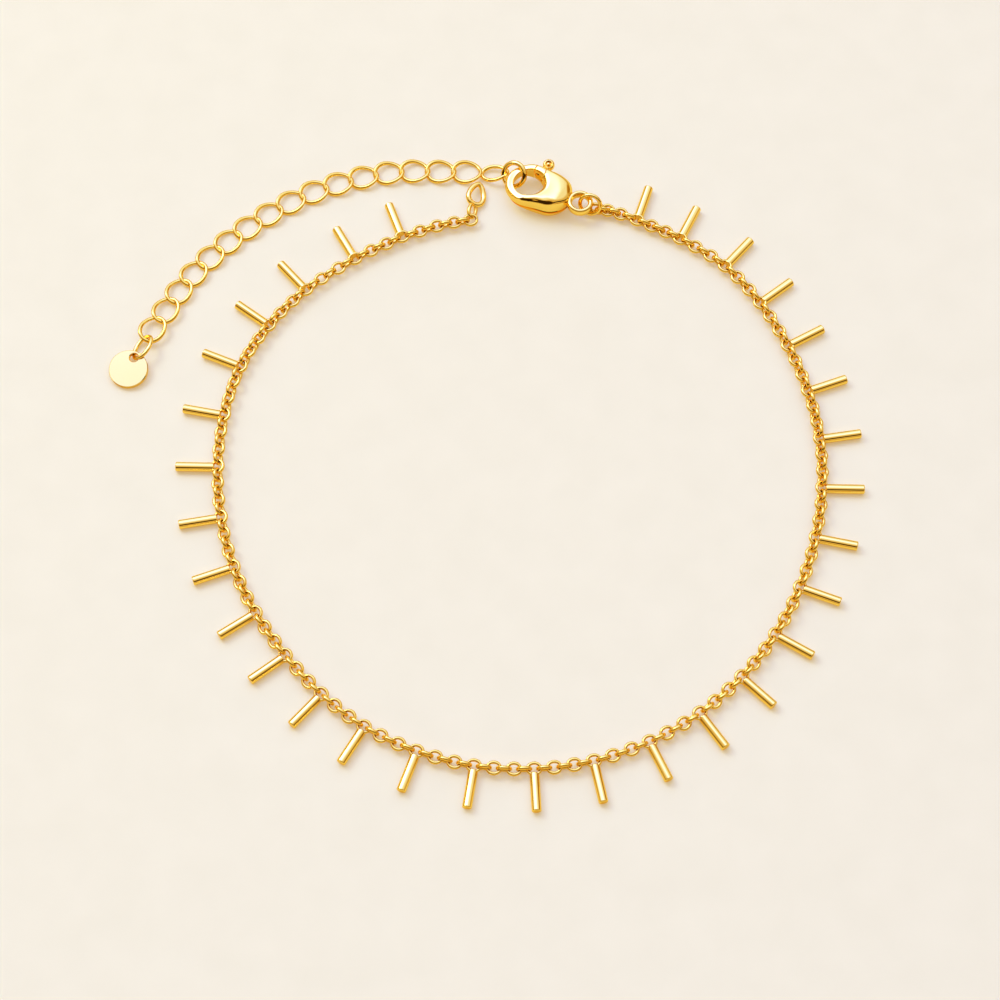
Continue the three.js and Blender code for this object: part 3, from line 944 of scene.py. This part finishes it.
def room():
    world = bpy.data.worlds.new("room")
    world.use_nodes = True
    nodes, links = world.node_tree.nodes, world.node_tree.links
    background = nodes["Background"]
    place = nodes.new("ShaderNodeTexCoord")

    def math_node(operation, *values):
        node = nodes.new("ShaderNodeMath")
        node.operation = operation
        for socket, value in zip(node.inputs, values):
            if isinstance(value, (int, float)):
                socket.default_value = value
            else:
                links.new(value, socket)
        return node.outputs[0]

    def mapped(value, low, high, to_low, to_high):
        node = nodes.new("ShaderNodeMapRange")
        node.interpolation_type = "SMOOTHSTEP"
        links.new(value, node.inputs["Value"])
        limits = {"From Min": low, "From Max": high, "To Min": to_low, "To Max": to_high}
        for name, number in limits.items():
            node.inputs[name].default_value = number
        return node.outputs["Result"]

    def lobe(direction, edge, core, amount):
        """A soft bright or dark patch of the room, round a direction."""
        towards = nodes.new("ShaderNodeVectorMath")
        towards.operation = "DOT_PRODUCT"
        links.new(place.outputs["Generated"], towards.inputs[0])
        towards.inputs[1].default_value = Vector(direction).normalized()
        return mapped(towards.outputs["Value"], edge, core, 0, amount)

    split = nodes.new("ShaderNodeSeparateXYZ")
    links.new(place.outputs["Generated"], split.inputs[0])
    back_wall = lobe((0, 0.7, 0.71), 0.8, 0.93, 0.95)
    left_of_it = mapped(split.outputs["X"], -0.25, 0.4, 1.0, 0.2)
    back_wall = math_node("MULTIPLY", back_wall, left_of_it)
    bright = math_node("ADD", back_wall, EVEN_LIGHT)
    for wall in (
        lobe((-0.55, 0.42, 0.72), 0.88, 0.98, 1.0),
        lobe((0.5, 0.42, 0.75), 0.8, 0.95, 0.45),
        lobe((-0.05, 0.15, 1.0), 0.88, 0.98, 0.5),
    ):
        bright = math_node("ADD", bright, wall)
    near = math_node("MULTIPLY", split.outputs["Y"], -1.0)
    angle = math_node("ARCTAN2", split.outputs["Z"], near)
    rise = mapped(angle, math.radians(29.5), math.radians(33.5), 0, 1)
    fall = mapped(angle, math.radians(56), math.radians(60), 1, 0)
    gap = math_node("MULTIPLY", math_node("MULTIPLY", rise, fall), 0.97)
    doorway = lobe((0.84, 0.42, 0.35), 0.955, 0.99, 0.7)
    skirting = mapped(split.outputs["Z"], 0.08, 0.25, 0.6, 0)
    strength = bright
    for dark_part in (gap, doorway, skirting):
        strength = math_node("MULTIPLY", strength, math_node("SUBTRACT", 1.0, dark_part))
    links.new(math_node("MULTIPLY", strength, ROOM_STRENGTH), background.inputs["Strength"])
    tint = nodes.new("ShaderNodeValToRGB")
    ramp = tint.color_ramp
    first, *between, last = TINTS
    for stop, (level, colour) in zip(ramp.elements, (first, last)):
        stop.position = level / TINT_RANGE
        stop.color = (*colour, 1)
    for level, colour in between:
        stop = ramp.elements.new(level / TINT_RANGE)
        stop.color = (*colour, 1)
    links.new(math_node("DIVIDE", strength, TINT_RANGE), tint.inputs["Fac"])
    links.new(tint.outputs["Color"], background.inputs["Color"])
    return world


bpy.context.scene.world = room()

start()
bpy.ops.object.light_add(type="AREA", location=WINDOW_AT)
window = bpy.context.object
window.name = "window"
window.data.shape = "RECTANGLE"
window.data.size = window.data.size_y = WINDOW_SIZE
window.data.energy = WINDOW_ENERGY
window.data.color = (0.88, 0.94, 1.0)
aim = Vector((0, 0, 0)) - window.location
window.rotation_euler = aim.to_track_quat("-Z", "Y").to_euler()
bpy.context.scene.view_settings.view_transform = "Standard"
print("light at", [round(value, 3) for value in window.location])
